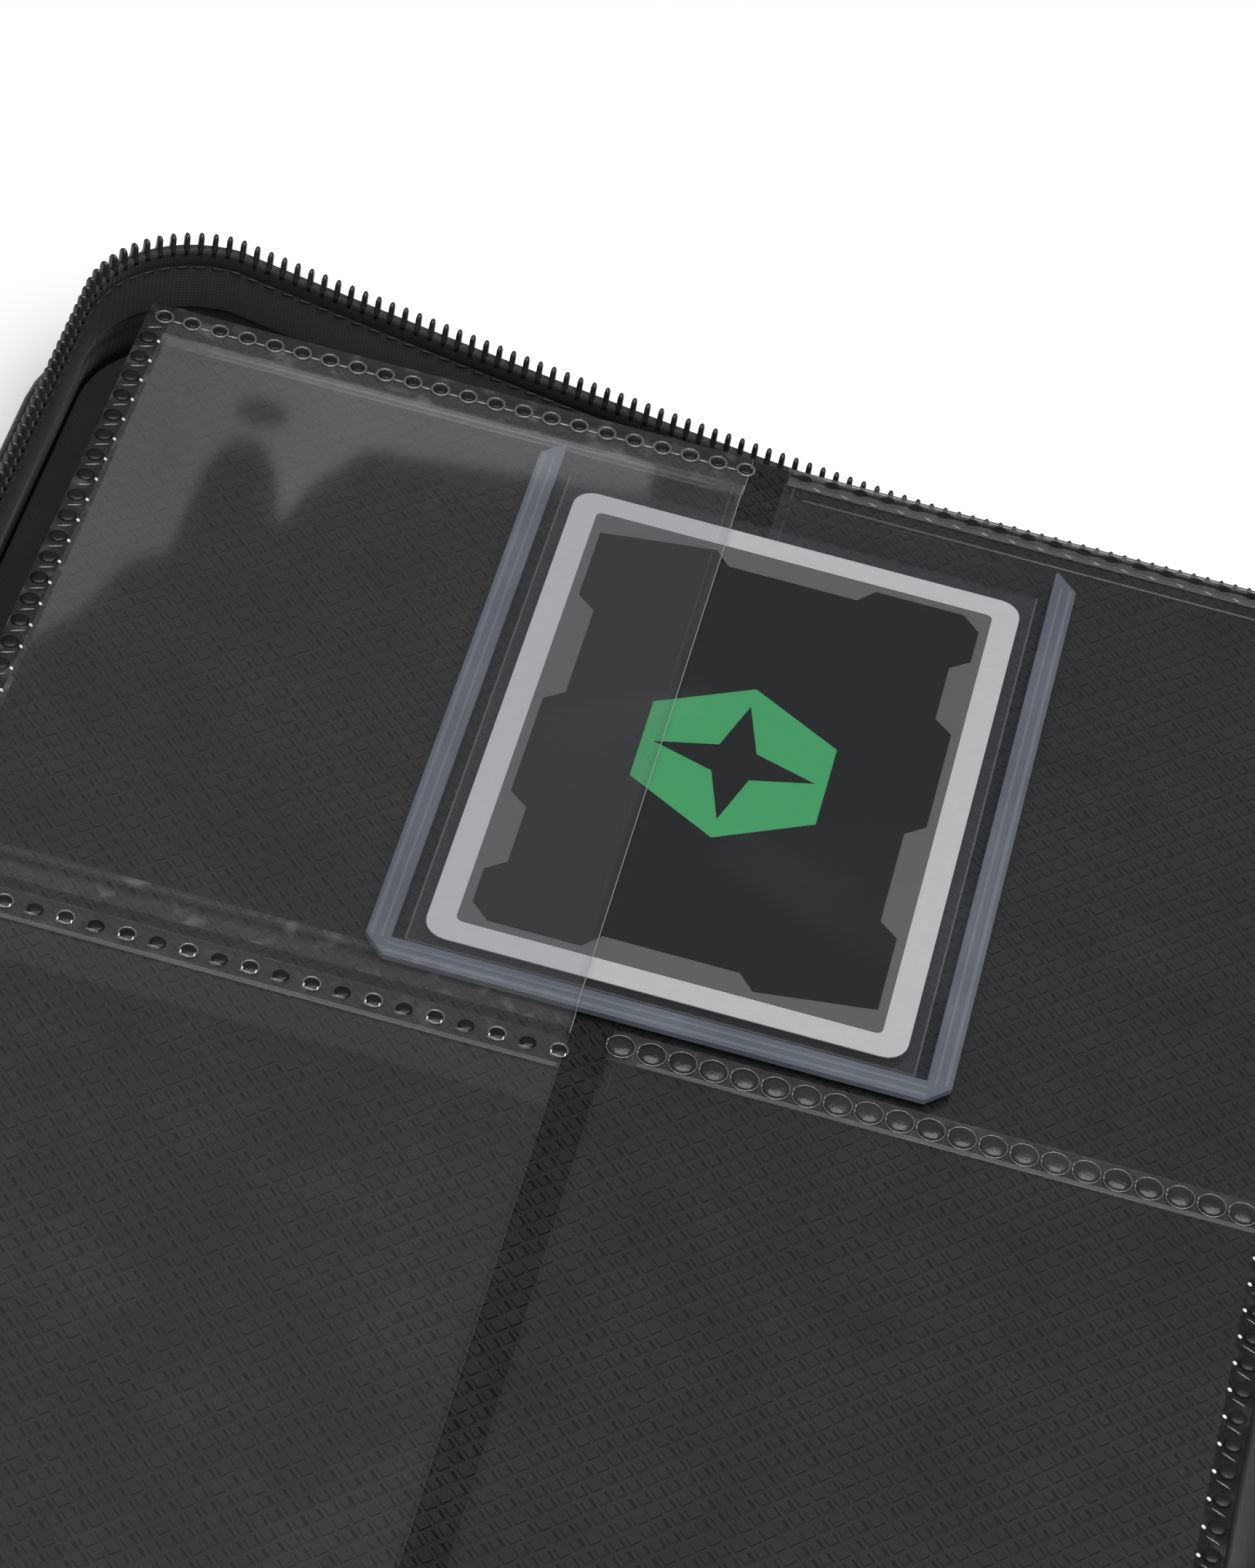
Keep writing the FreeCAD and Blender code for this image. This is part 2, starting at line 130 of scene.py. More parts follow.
# Mesh building
class Shape:
    """Vertices and faces gathered from several closed forms."""

    def __init__(self, *form):
        self.points = []
        self.faces = []
        self.kinds = []
        self.count = 0
        if form:
            self.add(*form)

    def add(self, points, faces, kind=0):
        points = np.asarray(points, float).reshape(-1, 3)
        self.points.append(points)
        self.faces.extend(tuple(i + self.count for i in face) for face in faces)
        self.kinds.extend([kind] * len(faces))
        self.count += len(points)

    def box(self, x0, x1, y0, y1, z0, z1, radius, kind=0):
        """Add a plate with slightly rounded upper and lower edges."""
        (x0, x1), (y0, y1) = sorted((x0, x1)), sorted((y0, y1))
        outline = [(x0, y0), (x1, y0), (x1, y1), (x0, y1)]
        self.add(*plate(outline, z0, z1, radius, 2), kind)
        return self

    def mirror_down(self, middle):
        """Add the form's mirror image under the level of the middle."""
        points = np.concatenate(self.points)
        self.points.append(points * (1, 1, -1) + (0, 0, 2 * middle))
        self.faces += [tuple(i + self.count for i in face[::-1]) for face in self.faces]
        self.kinds += self.kinds
        self.count += len(points)

    def copies(self, form, frames, kind=0):
        """Copy a form to many places; a frame is its origin and its x, y and z axes."""
        points, faces = form
        for rows in np.asarray(frames, float):
            self.add(rows[0] + points @ rows[1:], faces, kind)
        return self


def new_object(name, data):
    made = bpy.data.objects.new(name, data)
    bpy.context.scene.collection.objects.link(made)
    return made


def make(name, shape, materials, body, replaces=(), side="back", smooth=True):
    """Turn a shape into a piece that rides on a body, or is left for blending."""
    points = np.concatenate(shape.points)
    faces = shape.faces
    if side == "front":
        points = points * (-1, 1, 1)
        faces = [face[::-1] for face in faces]
    mesh = bpy.data.meshes.new(name)
    mesh.from_pydata((points * MM).tolist(), [], faces)
    for one in materials if isinstance(materials, list) else [materials]:
        mesh.materials.append(one)
    mesh.polygons.foreach_set("material_index", shape.kinds)
    mesh.polygons.foreach_set("use_smooth", [smooth] * len(faces))
    mesh.update()
    mesh.validate()
    piece = new_object(name, mesh)
    if replaces:
        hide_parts(*replaces)
    if body:
        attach(piece, body)
    return piece


def bend(piece, side, first, second, start, end):
    """Bake a piece's placement into its mesh; no blend between two bodies is made here. side, first,
    second, start and end are not used.
    """
    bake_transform(piece)


def circle(count, start=0.0):
    """Cosine and sine of angles spread evenly round a circle."""
    angles = [start + 2 * math.pi * i / count for i in range(count)]
    return [(math.cos(angle), math.sin(angle)) for angle in angles]


def loft(rings):
    """Quads between rings of equal length, capped at both ends."""
    rings = np.asarray(rings, float)
    count, length = rings.shape[:2]
    faces = []
    for a in range(0, (count - 1) * length, length):
        for j in range(length):
            k = (j + 1) % length
            faces.append((a + j, a + k, a + length + k, a + length + j))
    faces.append(tuple(range(length))[::-1])
    faces.append(tuple(range((count - 1) * length, count * length)))
    return rings.reshape(-1, 3), faces


def inset(outline, distance):
    """Move a counter-clockwise outline inwards by a distance."""
    points = np.asarray(outline, float)
    run = points - np.roll(points, 1, axis=0)
    run /= np.linalg.norm(run, axis=1)[:, None]
    inward = np.stack([-run[:, 1], run[:, 0]], 1)
    following = np.roll(inward, -1, axis=0)
    lean = 1 + (inward * following).sum(1)
    return points + distance * (inward + following) / lean[:, None]


def stack(outline, levels):
    """A closed form whose outline is repeated at each (height, inset)."""
    return loft([np.column_stack([inset(outline, move), np.full(len(outline), z)])
                 for z, move in levels])


def plate(outline, z0, z1, radius, steps=4):
    """A closed plate whose upper and lower edges are rounded."""
    low = []
    for i in range(steps, -1, -1):
        angle = math.pi / 2 * i / steps
        low.append((z0 + radius * (1 - math.sin(angle)), radius * (1 - math.cos(angle))))
    high = [(z0 + z1 - z, move) for z, move in low[::-1]]
    return stack(outline, low + high)


def arc(x, y, radius, start, steps):
    """A quarter circle, counter-clockwise from a direction in degrees."""
    angles = [math.radians(start + 90 * i / steps) for i in range(steps + 1)]
    return [(x + radius * math.cos(angle), y + radius * math.sin(angle)) for angle in angles]


def rounded_box(x0, x1, y0, y1, corner):
    """Counter-clockwise outline of a rectangle with round corners."""
    centres = ((x1 - corner, y0 + corner, -90), (x1 - corner, y1 - corner, 0),
               (x0 + corner, y1 - corner, 90), (x0 + corner, y0 + corner, 180))
    return [point for x, y, start in centres for point in arc(x, y, corner, start, 5)]


def half_outline(inner, outer, half, corner):
    """Counter-clockwise outline of a cover: square beside the spine, round outside."""
    return [(inner, -half), *arc(outer - corner, corner - half, corner, -90, 10),
            *arc(outer - corner, half - corner, corner, 0, 10), (inner, half)]


def ellipsoid(rx, ry, rz, around=8, rows=4, half=False):
    """A closed ball form, or its upper half with a flat base."""
    rings = []
    low = 0 if half else -90
    for i in range(rows + 1):
        angle = math.radians(max(-88, low + (88 - low) * i / rows))
        wide, z = math.cos(angle), rz * math.sin(angle)
        rings.append([(rx * wide * c, ry * wide * s, z) for c, s in circle(around)])
    return loft(rings)


def torus(radius, wire, around=14, section=6):
    """A closed ring lying flat."""
    points = []
    faces = []
    for i, (c, s) in enumerate(circle(around)):
        k = (i + 1) % around * section
        i *= section
        for j, (across, up) in enumerate(circle(section)):
            r = radius + wire * across
            points.append((r * c, r * s, wire * up))
            m = (j + 1) % section
            faces.append((i + j, k + j, k + m, i + m))
    return np.array(points), faces


def flat_frames(us, ys, z, angle=0.0):
    """Frames at one height for copies that lie level, turned about Z."""
    c, s = math.cos(angle), math.sin(angle)
    return [[(u, y, z), (c, s, 0), (-s, c, 0), (0, 0, 1)] for u, y in np.broadcast(us, ys)]


# Materials
def new_material(name):
    material = bpy.data.materials.new(name)
    material.use_nodes = True
    material.node_tree.nodes.clear()
    return material, material.node_tree


def rgb(colour):
    """A colour as it is, or a grey given as one number."""
    return colour if isinstance(colour, tuple) else (colour,) * 3


def node(tree, kind, *inputs, **values):
    """Add a shader node. Its inputs, in order or by a name with a capital, take a value,
    an output or a node. Names in small letters are settings."""
    made = tree.nodes.new("ShaderNode" + kind)
    given = dict(enumerate(inputs))
    for key, value in values.items():
        if key[0].isupper():
            given[key.replace("_", " ")] = value
        else:
            setattr(made, key, value)
    for key, value in given.items():
        if isinstance(value, bpy.types.Node):
            value = value.outputs[0]
        if isinstance(value, bpy.types.NodeSocket):
            tree.links.new(value, made.inputs[key])
        else:
            made.inputs[key].default_value = value
    return made


def coordinates(tree):
    """Object coordinates in millimetres."""
    place = node(tree, "TexCoord").outputs["Object"]
    return node(tree, "Mapping", Vector=place, Scale=[1 / MM] * 3)


def noise(tree, place, scale, detail=3.0):
    made = node(tree, "TexNoise", Vector=place, Scale=scale, Detail=detail, Roughness=0.55)
    return made.outputs["Fac"]


def wave(tree, place, period, direction):
    """Parallel ribs with a period in millimetres."""
    made = node(tree, "TexWave", Vector=place, Scale=2 * math.pi / (20 * period),
                bands_direction=direction)
    return made.outputs["Fac"]


def ramp(tree, factor, low, high, low_colour, high_colour):
    made = node(tree, "ValToRGB", factor)
    ends = ((low, low_colour), (high, high_colour))
    for element, (position, colour) in zip(made.color_ramp.elements, ends):
        element.position = position
        element.color = (*rgb(colour), 1)
    return made


def combine(tree, operation, first, second):
    return node(tree, "Math", first, second, operation=operation)


def blend_of(tree, value, scale, shift):
    """The value times scale, plus shift."""
    return combine(tree, "ADD", combine(tree, "MULTIPLY", value, scale), shift)


def bump(tree, height, distance, strength=1.0):
    return node(tree, "Bump", Height=height, Strength=strength, Distance=distance * MM)


def principled(tree, rough, specular=0.5, **values):
    """The main shader, linked to the output."""
    shader = node(tree, "BsdfPrincipled", Roughness=rough, Specular_IOR_Level=specular, **values)
    node(tree, "OutputMaterial", shader)


def mottled(name, dark, light, rough, grain, depth, specular=0.5):
    """A plain moulded or coated surface: slow colour patches and a fine grain."""
    material, tree = new_material(name)
    place = coordinates(tree)
    patches = noise(tree, place, 0.08, 4.0)
    principled(tree, blend_of(tree, patches, 0.2, rough - 0.1), specular,
               Base_Color=ramp(tree, patches, 0.35, 0.68, dark, light),
               Normal=bump(tree, noise(tree, place, grain, 4.0), depth))
    return material


def leather(name, pebbles, creases):
    """Fine pebbled leatherette with darker creases between the pebbles."""
    material, tree = new_material(name)
    place = coordinates(tree)
    warp = noise(tree, place, 0.35)
    pebble = node(tree, "TexVoronoi", Vector=place, Scale=0.85, feature="SMOOTH_F1")
    height = blend_of(tree, pebble, -1.0, combine(tree, "MULTIPLY", warp, 0.5))
    principled(tree, blend_of(tree, warp, 0.25, 0.36), 0.42,
               Base_Color=ramp(tree, pebble, 0.1, 0.85, pebbles, creases),
               Normal=bump(tree, height, 0.16, 0.8))
    return material


def woven(name, dark, light, period, depth, across="Y"):
    """Two crossing sets of threads, uneven from place to place."""
    material, tree = new_material(name)
    place = coordinates(tree)
    one, other = (wave(tree, place, period, direction) for direction in ("X", across))
    threads = combine(tree, "MAXIMUM", one, other)
    worn = combine(tree, "MULTIPLY", noise(tree, place, 0.12, 4.0), 0.6)
    tone = blend_of(tree, threads, 0.5, worn)
    principled(tree, 0.85, 0.25, Sheen_Weight=0.12, Sheen_Roughness=0.5,
               Base_Color=ramp(tree, tone, 0.3, 0.95, dark, light),
               Normal=bump(tree, threads, depth, 0.7))
    return material


HEAD_ON_GLOSS = 0.04         # share of light that one plastic surface mirrors head on
BLOTCH_SCALE = 0.3           # waves of the blotches in a millimetre
BLOTCH_FROM, BLOTCH_FULL = 0.55, 0.72


def clear_plastic(name, reflect, rough, tint, veil=0.0, blotches=0.0):
    """Clear plastic, with a gloss that rises alike on both faces of a thin sheet.

    reflect scales the gloss, veil is the share of milky surface, and blotches adds to
    the veil here and there."""
    material, tree = new_material(name)
    facing = node(tree, "LayerWeight", Blend=0.5).outputs["Facing"]
    share = blend_of(tree, combine(tree, "POWER", facing, 5.0),
                     (1 - HEAD_ON_GLOSS) * reflect, HEAD_ON_GLOSS * reflect)
    milky = veil
    if blotches:
        cloud = noise(tree, coordinates(tree), BLOTCH_SCALE, 2.0)
        milky = node(tree, "MapRange", cloud, BLOTCH_FROM, BLOTCH_FULL, veil, veil + blotches)
    through = node(tree, "BsdfTransparent", Color=(*rgb(tint), 1))
    milk = node(tree, "BsdfDiffuse", Color=(0.6, 0.6, 0.62, 1))
    gloss = node(tree, "BsdfGlossy", Roughness=rough, Color=(1, 1, 1, 1))
    base = node(tree, "MixShader", milky, through, milk)
    node(tree, "OutputMaterial", node(tree, "MixShader", share, base, gloss))
    return material


def printed(name, colour, rough=0.32, specular=0.4):
    """Coated card stock with a faint paper fleck under the print."""
    material, tree = new_material(name)
    fleck = noise(tree, coordinates(tree), 1.6)
    low = tuple(c * 0.94 for c in colour)
    principled(tree, rough, specular, Base_Color=ramp(tree, fleck, 0.3, 0.7, low, colour),
               Normal=bump(tree, fleck, 0.01, 0.3))
    return material


def rail_plastic(name, low, high):
    """The welded rails of the card holder: thick, cloudy and slightly blue."""
    material, tree = new_material(name)
    cloud = noise(tree, coordinates(tree), 0.09)
    principled(tree, 0.22, Alpha=0.82, Base_Color=ramp(tree, cloud, 0.3, 0.7, low, high))
    return material


LEATHER = leather("black_leatherette", (0.016, 0.0155, 0.015), (0.007, 0.0068, 0.0066))
LINING = woven("lining_fabric", (0.015, 0.0142, 0.013), (0.033, 0.031, 0.0285), 0.55, 0.06)
GUSSET = woven("gusset_fabric", (0.009, 0.0085, 0.008), (0.02, 0.0185, 0.017), 0.5, 0.05, "Z")
TAPE = woven("zip_tape_weave", (0.023, 0.0228, 0.021), (0.056, 0.0555, 0.051), 0.42, 0.05, "Z")

THREAD = mottled("stitching_thread", (0.022, 0.021, 0.02), (0.045, 0.043, 0.041), 0.7, 3.0, 0.03)
TEETH = mottled("zip_tooth_plastic", 0.012, 0.02, 0.34, 2.0, 0.012, 0.6)
PAGE = mottled("embossed_backing", 0.0095, 0.0145, 0.46, 1.8, 0.03, 0.26)
# Painted shade: near-black colour for the embossed squares' two steep sides.
PAGE_SIDE_SHADE = mottled("embossed_painted_shade", 0.003, 0.005, 0.6, 1.8, 0.02, 0.15)
DOME = mottled("weld_dome", 0.012, 0.03, 0.28, 0.9, 0.16)
DIMPLE = mottled("weld_dimple", 0.004, 0.009, 0.36, 1.2, 0.05, 0.3)
# Painted highlight: near-white specks that stand for glints on the welds.
PAINTED_GLINT = mottled("weld_painted_glint", 0.7, 0.95, 0.25, 1.2, 0.02)
CLAMP = mottled("clamp_plastic", 0.011, 0.019, 0.42, 1.5, 0.03)
METAL = mottled("black_coated_metal", (0.02, 0.02, 0.021), (0.035, 0.035, 0.036), 0.3, 1.2, 0.01, 0.8)
RIVET = mottled("rivet_steel", (0.3, 0.3, 0.31), (0.42, 0.42, 0.43), 0.32, 1.4, 0.01)
RUBBER = mottled("pull_rubber", 0.012, 0.02, 0.62, 2.0, 0.03)

CLEAR = (0.985, 0.987, 0.99)
FILM = clear_plastic("clear_pocket_film", 1.0, 0.03, CLEAR)
MILKY_FILM = clear_plastic("milky_pocket_film", 1.0, 0.03, CLEAR, 0.0055)
CREASED_FILM = clear_plastic("creased_pocket_film", 0.1, 0.3, 0.97, 0.028, 0.05)
DULL_FILM = clear_plastic("dull_pocket_film", 0.1, 0.3, 0.98, 0.02)
# The pocket mouth's cut edge: a milky line, partly the edge's own whiteness and partly painted
# highlight; the faint copy below y = 0 stands for the same edge in shade.
HIGHLIT_EDGE = clear_plastic("cut_film_edge_highlight", 1.0, 0.2, 0.8, 0.25)
SHADED_EDGE = clear_plastic("cut_film_edge_shade", 0.2, 0.3, 0.93, 0.02)
WELD = clear_plastic("welded_film", 0.25, 0.12, 0.72, 0.004, 0.03)
PALE_WELD = clear_plastic("pale_welded_film", 0.3, 0.12, 0.93, 0.014, 0.02)
BEAD = clear_plastic("weld_bead", 1.6, 0.12, 0.8, 0.11)
CREASE = clear_plastic("film_crease", 0.6, 0.2, 0.9, 0.06)
SHEET = clear_plastic("rigid_clear_sheet", 0.15, 0.05, (0.98, 0.985, 0.99))
SLEEVE = clear_plastic("soft_sleeve_film", 0.1, 0.12, (0.97, 0.97, 0.975), 0.008)

CARD_LIGHT = printed("card_border", (0.51, 0.51, 0.5))
CARD_GREY = printed("card_frame", (0.108, 0.107, 0.105))
CARD_DARK = printed("card_centre", (0.005, 0.0062, 0.0058), 0.4, 0.25)
CARD_GREEN = printed("card_mark", (0.05, 0.33, 0.115))
HOLDER_RAIL = rail_plastic("holder_rail", (0.1, 0.109, 0.134), (0.138, 0.15, 0.178))
HOLDER_RIB = rail_plastic("holder_rail_rib", (0.14, 0.15, 0.176), (0.175, 0.187, 0.215))


# Camera, light and stage
def bearing(east, up):
    """A unit vector from an angle east of +Y and one above the horizon, in degrees."""
    east, up = math.radians(east), math.radians(up)
    return Vector((math.sin(east) * math.cos(up), math.cos(east) * math.cos(up), math.sin(up)))


def aimed(name, data, place, ahead, roll=0.0):
    """Put a camera or a light at a place, facing a direction."""
    turn = ahead.to_track_quat("-Z", "Y").to_matrix().to_4x4() @ Matrix.Rotation(roll, 4, "Z")
    holder = new_object(name, data)
    holder.matrix_world = Matrix.Translation(place) @ turn
    return holder


def place_camera():
    """The viewing angle: from the near right, 45 degrees down, a little rolled."""
    camera = bpy.data.cameras.new("view")
    camera.lens = 128.6
    camera.sensor_width = 36.0
    camera.clip_start = 0.02
    camera.clip_end = 20.0
    bpy.context.scene.camera = aimed("view", camera, Vector((-0.0944, -0.4712, 0.5337)),
                                     bearing(-4.32, -44.89), math.radians(11.89))


def overhead_panel():
    """A soft panel that faces the binder, as bright as its radiance at any size."""
    width, height, radiance = 1.9, 1.5, 3.9
    place = Vector((0.1, -0.35, 1.5))
    light = bpy.data.lights.new("overhead_panel", "AREA")
    light.shape = "RECTANGLE"
    light.size = width
    light.size_y = height
    light.energy = radiance * width * height * math.pi
    aimed("overhead_panel", light, place, -place).visible_camera = False


# A bright window behind the binder, which the upper left film mirrors. Its outline is
# given as bearing east of +Y and height above the horizon, in degrees, seen from the film.
WINDOW_OUTLINE = ((-3.7, 38.8), (-3.7, 41.8), (-8.5, 41.9), (-9.3, 42.4), (-9.85, 43.0),
                  (-9.95, 42.4), (-10.3, 42.0), (-10.8, 42.0), (-11.2, 42.4), (-11.65, 43.5),
                  (-12.3, 43.7), (-13.1, 44.4), (-15.5, 45.6), (-15.5, 38.8))
WINDOW_RADIANCE = (0.78, 1.08)     # at its dim end and its bright end
WINDOW_FADE = (-0.672, -0.565)     # between these places along X, in metres
WINDOW_DISTANCE = 3.2
SHADE_DISTANCE = WINDOW_DISTANCE * 0.97
SHADE_PLACE = (-10.36, 41.63)
SHADE_SIZE = (0.46, 0.16)
ROOM_RADIANCE = 0.2
FILM_SPOT = Vector((-0.19, 0.08, 0.0174))


def stage_piece(name, points, material):
    """One flat face that isn't part of the binder."""
    mesh = bpy.data.meshes.new(name)
    mesh.from_pydata([tuple(p) for p in points], [], [tuple(range(len(points)))])
    mesh.materials.append(material)
    piece = new_object(name, mesh)
    return piece


def glowing(name, bearings, distance, radiance):
    """A flat glowing shape behind the binder, which the camera can't see directly."""
    material, tree = new_material(name)
    place = node(tree, "SeparateXYZ", node(tree, "TexCoord").outputs["Object"])
    fade = node(tree, "MapRange", place, *WINDOW_FADE, *radiance)
    node(tree, "OutputMaterial", node(tree, "Emission", Strength=fade))
    points = [FILM_SPOT + bearing(east, up) * distance for east, up in bearings]
    stage_piece(name, points, material).visible_camera = False


def build_stage():
    scene = bpy.context.scene
    scene.view_settings.view_transform = "Standard"
    scene.cycles.transparent_max_bounces = 40
    scene.world = bpy.data.worlds.new("studio")
    scene.world.use_nodes = True
    room = scene.world.node_tree.nodes["Background"].inputs
    room["Color"].default_value = (ROOM_RADIANCE, ROOM_RADIANCE, 0.203, 1)
    room["Strength"].default_value = 1.0
    overhead_panel()
    glowing("window", WINDOW_OUTLINE, WINDOW_DISTANCE, WINDOW_RADIANCE)
    rim = [(SHADE_PLACE[0] + SHADE_SIZE[0] * c, SHADE_PLACE[1] + SHADE_SIZE[1] * s)
           for c, s in circle(16)]
    glowing("window_shade", rim, SHADE_DISTANCE, (ROOM_RADIANCE, ROOM_RADIANCE))
    material, tree = new_material("pale_floor")
    principled(tree, 0.9, 0.1, Base_Color=(0.9, 0.9, 0.9, 1))
    reach = 6.0
    corners = [(-reach, -reach, 0), (reach, -reach, 0), (reach, reach, 0), (-reach, reach, 0)]
    stage_piece("floor", corners, material).location.z = -0.0002


# Zip walls
def crest_height(u):
    """Height of the teeth's foot."""
    share = min(1.0, max(0.0, (u - CORNER_U + DROP_LENGTH) / DROP_LENGTH))
    return CREST_LOW + (CREST_HIGH - CREST_LOW) * share ** DROP_POWER


def wall_point(distance):
    """(u, y) on the wall's centre line, its outward direction, and the height there."""
    starts = (0, *WALL_ENDS)
    stretch = min(4, int(np.searchsorted(WALL_ENDS, distance)))
    along = distance - starts[stretch]
    if stretch % 2:
        side = 2 - stretch                   # 1 at the far corner and -1 at the near one
        angle = (1 + side) * math.pi / 4 - along / WALL_CORNER
        out = np.array((math.cos(angle), math.sin(angle)))
        place = np.array((CORNER_U, side * CORNER_Y)) + WALL_CORNER * out
    else:
        place, out = (((COVER_INNER + along, WALL_HALF), (0, 1)),
                      ((WALL_OUTER, CORNER_Y - along), (1, 0)),
                      ((CORNER_U - along, -WALL_HALF), (0, -1)))[stretch // 2]
    return np.array(place), np.array(out), crest_height(place[0])


def sweep_wall(section):
    """Carry a section of (outwards, height) points round the wall."""
    rings = []
    for distance in np.linspace(0, WALL_LENGTH, int(WALL_LENGTH / WALL_STEP) + 1):
        place, out, crest = wall_point(distance)
        rings.append([(*(place + out * across), z) for across, z in section(crest, distance)])
    return Shape(*loft(rings))


def tape_section(crest, distance):
    """The tape with a thick corded edge under the teeth."""
    low = crest - TAPE_HEIGHT
    return [(-0.35, low), (0.35, low), (0.3, crest - 1.2), (TAPE_EDGE, crest - 0.7),
            (TAPE_EDGE, crest - 0.1), (0.3, crest + 0.15), (-0.3, crest + 0.15),
            (-TAPE_EDGE, crest - 0.1), (-TAPE_EDGE, crest - 0.7), (-0.3, crest - 1.2)]


def gusset_section(crest, distance):
    """Folded fabric: a flat upper band, a soft fold, and a recessed lower wall."""
    top = crest - TAPE_HEIGHT + 0.05
    floor = LINING_TOP - 0.05
    room = max(top - floor, 0.3)
    fold = top - min(FOLD_DROP - TAPE_HEIGHT, room * 0.6)
    slack = 0.25 * math.sin(distance * 0.11) + 0.15 * math.sin(distance * 0.043 + 1)
    slack *= min(1.0, room / 10)
    out = 1.5 * min(1.0, room / 8)
    waist = (fold + floor) / 2
    return [(-0.55, top), (-0.6, fold + 0.35 * room / 20), (-0.75, fold), (-0.3, fold - 0.25),
            (out * 0.5 + slack, waist), (-0.1, floor), (0.7, floor),
            (out + 0.5 + slack, waist), (0.75, fold), (0.6, top)]


def tooth():
    """One upright zip tooth: a pin with a rounded tip and a broader foot."""
    levels = ((-0.75, 0.42, 0.95), (0.0, 0.46, 0.9), (0.25, 0.41, 0.74), (1.8, 0.39, 0.68),
              (2.18, 0.31, 0.54), (2.42, 0.14, 0.26))
    return loft([[(along * c * 1.08, across * s * 1.08, z) for c, s in circle(8, math.pi / 8)]
                 for z, along, across in levels])


def wall_frames(distances, across=0.0, below=0.0):
    """Frames for copies along the wall: x along it, y outwards, z up."""
    frames = []
    for distance in distances:
        place, out, crest = wall_point(distance)
        frames.append([(*(place + out * across), crest - below), (out[1], -out[0], 0),
                       (*out, 0), (0, 0, 1)])
    return frames


def zip_wall(side):
    body = f"{side}_cover"
    make(f"{side}_tape_band", sweep_wall(tape_section), TAPE, body,
         [f"{side}_zip_tape"], side)
    wall = make(f"{side}_gusset_wall", sweep_wall(gusset_section), GUSSET, body,
                [f"{side}_gusset"], side)
    count = int(WALL_LENGTH / TOOTH_PITCH)
    places = [(i + 0.775) * WALL_LENGTH / count for i in range(count)]
    teeth = Shape().copies(tooth(), wall_frames(places))
    make(f"{side}_teeth_row", teeth, TEETH, body, [f"{side}_zip_teeth"], side)
    places = [(i + 0.5) * STITCH_PITCH for i in range(int(WALL_LENGTH / STITCH_PITCH))]
    threads = Shape()
    for across in (-TAPE_EDGE, TAPE_EDGE):
        threads.copies(ellipsoid(1.0, 0.15, 0.13, 6), wall_frames(places, across, TAPE_HEIGHT))
    make(f"{side}_tape_stitching", threads, THREAD, body, (), side)


# Covers
def cover(side):
    body = f"{side}_cover"
    outline = half_outline(COVER_INNER, COVER_OUTER, COVER_HALF, COVER_CORNER)
    make(f"{side}_cover_skin", Shape(*plate(outline, 0.0, SKIN_TOP, 1.7)), LEATHER, body,
         [f"{side}_outer_skin", f"{side}_stiffening_board"], side)
    inner = half_outline(COVER_INNER + 0.3, COVER_OUTER - LINING_MARGIN,
                         COVER_HALF - LINING_MARGIN, COVER_CORNER - LINING_MARGIN)
    make(f"{side}_lining_panel", Shape(*plate(inner, LINING_FOOT, LINING_TOP, 0.4)), LINING,
         body, [f"{side}_inner_lining"], side)
    seam = inset(outline, 4.6)
    frames = []
    for a, b in zip(seam[:-1], seam[1:]):
        run = b - a
        length = np.linalg.norm(run)
        run = run / length
        for i in range(int(length / SEAM_PITCH)):
            spot = a + run * (i + 0.5) * SEAM_PITCH
            for z in (0.0, LINING_TOP):
                frames.append([(*spot, z), (*run, 0), (-run[1], run[0], 0), (0, 0, 1)])
    threads = Shape().copies(ellipsoid(1.15, 0.21, 0.12, 6), frames)
    make(f"{side}_cover_stitching", threads, THREAD, body, (), side)


def sheet_grid(u0, u1, half, step, lower, thick, more_y=(), more_u=()):
    """A closed thin sheet, whose underside is at a height given by lower(u, y)."""
    us, ys = (np.unique([*np.linspace(low, high, max(2, round((high - low) / step) + 1)), *more])
              for low, high, more in ((u0, u1, more_u), (-half, half, more_y)))
    points = [(u, y, lower(u, y) + rise) for rise in (0, thick) for u in us for y in ys]
    layer = len(us) * len(ys)
    grid = np.arange(layer).reshape(len(us), len(ys))
    quads = np.stack([grid[:-1, :-1], grid[1:, :-1], grid[1:, 1:], grid[:-1, 1:]], -1)
    faces = []
    for quad in quads.reshape(-1, 4).tolist():
        faces += [quad[::-1], [corner + layer for corner in quad]]
    rim = np.concatenate([grid[:, 0], grid[-1, 1:], grid[-2::-1, -1], grid[0, -2:0:-1]])
    for a, b in zip(rim.tolist(), np.roll(rim, -1).tolist()):
        faces.append((a, b, b + layer, a + layer))
    return points, faces


# Leaves
def leaf_top(number):
    """Height of a leaf's upper face; the top leaf is number 0."""
    return LEAF_TOP - LEAF_PITCH * number


def ease(share):
    """A smooth rise from 0 to 1."""
    return share * share * (3 - 2 * share)


def pad(side_spread):
    """One embossed square; two of its sides are steep and painted dark as shade."""
    rings = []
    low = (CELL - CELL_GROOVE) / 2
    for z, share in ((-CELL_HEIGHT - 0.1, 0.0), (-CELL_HEIGHT, 0.0), (0.0, 1.0)):
        left, far = (share * shade * side_spread - low for shade in CELL_SHADES)
        near = low - 0.08 * share
        rings.append([(left, -near, z), (near, -near, z), (near, -far, z), (left, -far, z)])
    points, faces = loft(rings)
    # Kind 1 puts the painted shade on the two steep sides.
    kinds = [int(i % 4 >= 2) for i in range(len(faces))]
    kinds[-2:] = [0, 0]
    return points, faces, kinds


